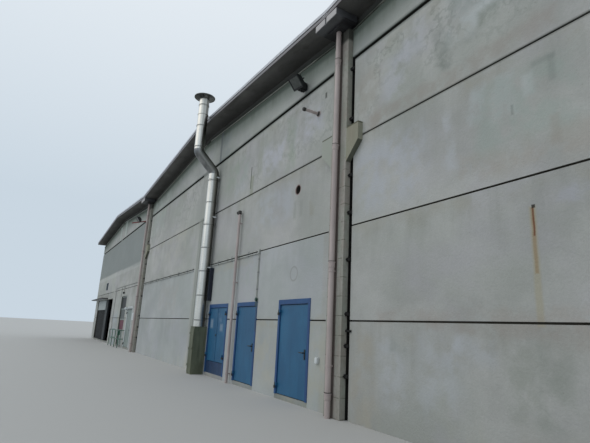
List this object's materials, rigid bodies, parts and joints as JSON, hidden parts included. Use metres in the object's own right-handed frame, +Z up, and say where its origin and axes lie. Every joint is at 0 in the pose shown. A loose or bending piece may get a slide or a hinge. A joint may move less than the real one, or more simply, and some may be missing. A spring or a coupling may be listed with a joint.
{
  "type": "factory building, 1:2 scale model",
  "caption": "Precast concrete factory hall with shallow gabled naves, valley columns with corbels, blue steel doors, downpipes and a stainless flue, as a 1:2 model.",
  "frame": {"origin": "middle of the plan at the ground", "axes": "+X along the front to the right, +Y from the front wall to the back wall, +Z up"},
  "size_m": [27.4, 18.8875, 4.8],
  "materials": {
    "concrete": "matte, weathered precast concrete",
    "roof_slab": "matte, dark weathered concrete with a felt top",
    "light_trim": "satin, pale coated sheet",
    "galvanised_sheet": "matte, dull grey sheet",
    "pink_pipe": "satin, faded pinkish paint",
    "blue_steel": "satin, mid blue paint",
    "dark_blue_steel": "satin, dark blue paint",
    "grey_steel": "satin, grey paint",
    "dark_gate": "matte, dark grey paint",
    "green_steel": "satin, green paint",
    "dark_steel": "matte, dark steel",
    "black_steel": "matte, black housing",
    "grey_green_steel": "matte, grey-green paint",
    "stainless": "brushed stainless steel"
  },
  "bodies": {
    "building": {"floor_slab": "concrete", "valley_columns": "concrete", "gable_posts": "concrete", "hall_columns": "concrete", "roof_beams": "concrete", "front_base_row": "concrete", "front_second_row_piers": "concrete", "front_lintels": "concrete", "front_second_row": "concrete", "front_third_row": "concrete", "front_fourth_row": "concrete", "gable_panels": "concrete", "mortar_strips": "concrete", "back_wall_odd_rows": "concrete", "back_wall_even_rows": "concrete", "side_wall_odd_rows": "concrete", "side_wall_even_rows": "concrete", "roof_slabs_left": "roof_slab", "roof_slabs_right": "roof_slab", "ridge_caps": "light_trim", "roof_edge_trims": "light_trim", "gable_ledges": "light_trim", "valley_gutters": "galvanised_sheet", "outlet_boxes": "galvanised_sheet", "eaves_gutters": "galvanised_sheet", "downpipes": "pink_pipe", "side_downpipes": "pink_pipe", "wall_pipes": "pink_pipe", "door_jambs": "blue_steel", "door_heads": "blue_steel", "door_hinges": "dark_steel", "door_3_panel": "dark_blue_steel", "goods_gate": "dark_gate", "glazed_door": "grey_steel", "canopy": "grey_steel", "guard_rail": "green_steel", "conduit": "dark_steel", "floodlights": "black_steel", "flue_cabinet": "grey_green_steel", "flue_brackets": "dark_steel", "flue_lower_run": "stainless", "flue_offset": "stainless", "flue_upper_run": "stainless", "flue_hat": "stainless"},
    "door_1": {"door_1": "blue_steel"},
    "door_2": {"door_2": "blue_steel"},
    "door_3_left": {"door_3_left": "blue_steel"},
    "door_3_right": {"door_3_right": "blue_steel"},
    "small_door": {"small_door": "grey_steel"}
  },
  "joints": [
    {"name": "door_1_hinge", "type": "hinge", "parent": "building", "child": "door_1", "pos_m": [3.315, -9.0225, 0.6], "axis": [0, 0, -1], "range_deg": [0, 95]},
    {"name": "door_2_hinge", "type": "hinge", "parent": "building", "child": "door_2", "pos_m": [2.08, -9.0225, 0.6], "axis": [0, 0, -1], "range_deg": [0, 95]},
    {"name": "door_3_left_hinge", "type": "hinge", "parent": "building", "child": "door_3_left", "pos_m": [0.955, -9.0225, 0.6], "axis": [0, 0, -1], "range_deg": [0, 95]},
    {"name": "door_3_right_hinge", "type": "hinge", "parent": "building", "child": "door_3_right", "pos_m": [1.65, -9.0225, 0.6], "axis": [0, 0, 1], "range_deg": [0, 95]},
    {"name": "small_door_hinge", "type": "hinge", "parent": "building", "child": "small_door", "pos_m": [-6.06, -9.0225, 0.6], "axis": [0, 0, -1], "range_deg": [0, 95]}
  ]
}
